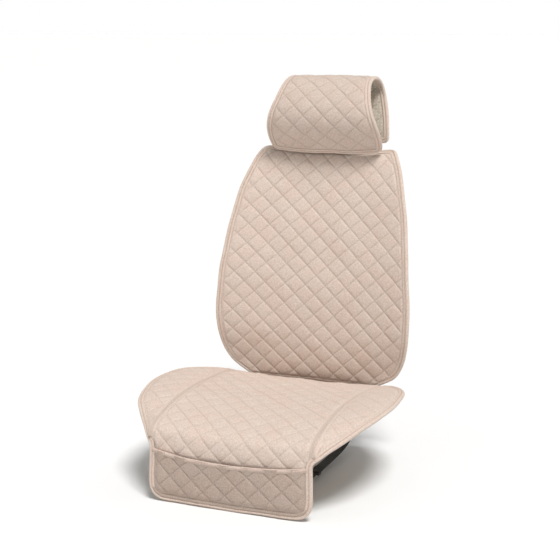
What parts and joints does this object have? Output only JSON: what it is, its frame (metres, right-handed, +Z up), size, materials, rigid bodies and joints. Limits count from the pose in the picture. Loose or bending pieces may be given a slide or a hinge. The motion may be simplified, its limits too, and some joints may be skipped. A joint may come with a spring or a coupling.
{
  "type": "seat cover set",
  "caption": "Quilted linen cover set for one car seat: cushion cover with side wings and a front pocket, backrest cover, headrest cover, and the straps that hold them.",
  "frame": {"origin": "middle of the cushion cover's underside, where it rests on the seat cushion", "axes": "+X to the right as seen from the front, -Y to the front, +Z up"},
  "size_m": [0.6206, 0.7461, 0.9451],
  "materials": {
    "linen_face": "woven linen melange, quilted",
    "linen_shade": "woven linen melange",
    "binding_tape": "folded linen tape",
    "foam": "thin open-cell foam",
    "backing": "non-woven with grip dots",
    "webbing": "woven elastic webbing",
    "plastic": "moulded, fine satin",
    "steel": "plated wire",
    "rod": "foamed plastic tube"
  },
  "bodies": {
    "cushion_cover": {"cushion_foam": "foam", "cushion_face": "linen_face", "cushion_backing": "backing", "wing_left_foam": "foam", "wing_left_face": "linen_face", "wing_left_backing": "backing", "wing_left_binding": "binding_tape", "wing_right_foam": "foam", "wing_right_face": "linen_face", "wing_right_backing": "backing", "wing_right_binding": "binding_tape", "flap_binding": "binding_tape", "seam_tape_left": "binding_tape", "seam_tape_right": "binding_tape", "tuck_strip_front": "linen_shade", "tuck_rod": "rod", "tuck_sleeve": "linen_shade", "under_strap_rear_left": "webbing", "under_strap_front_left": "webbing", "ring_left": "steel", "hook_left": "plastic", "under_strap_rear_right": "webbing", "under_strap_front_right": "webbing", "ring_right": "steel", "hook_right": "plastic"},
    "pocket": {"pocket_lining": "linen_shade", "pocket_face": "linen_shade", "pocket_mouth_binding": "binding_tape"},
    "slider_left": {"slider_left": "plastic"},
    "slider_right": {"slider_right": "plastic"},
    "backrest_cover": {"backrest_foam": "foam", "backrest_face": "linen_face", "backrest_backing": "backing", "backrest_binding_left": "binding_tape", "backrest_binding_right": "binding_tape", "backrest_binding_top": "binding_tape", "tuck_strip_rear": "linen_shade", "post_strap_left": "webbing", "buckle_socket": "plastic"},
    "buckle_plug": {"buckle_plug": "plastic", "post_strap_right": "webbing"},
    "headrest_cover": {"headrest_foam": "foam", "headrest_face": "linen_face", "headrest_backing": "backing", "headrest_binding_left": "binding_tape", "headrest_binding_right": "binding_tape", "headrest_hem_front": "binding_tape", "headrest_hem_rear": "binding_tape", "headrest_elastic_left": "webbing", "headrest_elastic_right": "webbing"}
  },
  "joints": [
    {"name": "backrest_recline", "type": "hinge", "parent": "cushion_cover", "child": "backrest_cover", "pos_m": [0, 0.356, -0.063], "axis": [1, 0, 0], "range_deg": [-45, 8]},
    {"name": "headrest_height", "type": "slide", "parent": "backrest_cover", "child": "headrest_cover", "axis": [0, 0.259, 0.9659], "range_m": [0, 0.06]},
    {"name": "buckle_release", "type": "slide", "parent": "backrest_cover", "child": "buckle_plug", "axis": [1, 0, 0], "range_m": [0, 0.028]},
    {"name": "pocket_open", "type": "hinge", "parent": "cushion_cover", "child": "pocket", "pos_m": [0, -0.2043, -0.1742], "axis": [1, 0, 0], "range_deg": [0, 14], "stiffness_Nm_per_rad": 0.3},
    {"name": "slider_left_slide", "type": "slide", "parent": "cushion_cover", "child": "slider_left", "axis": [0, 1, 0], "range_m": [-0.025, 0.035]},
    {"name": "slider_right_slide", "type": "slide", "parent": "cushion_cover", "child": "slider_right", "axis": [0, 1, 0], "range_m": [-0.025, 0.035]}
  ]
}
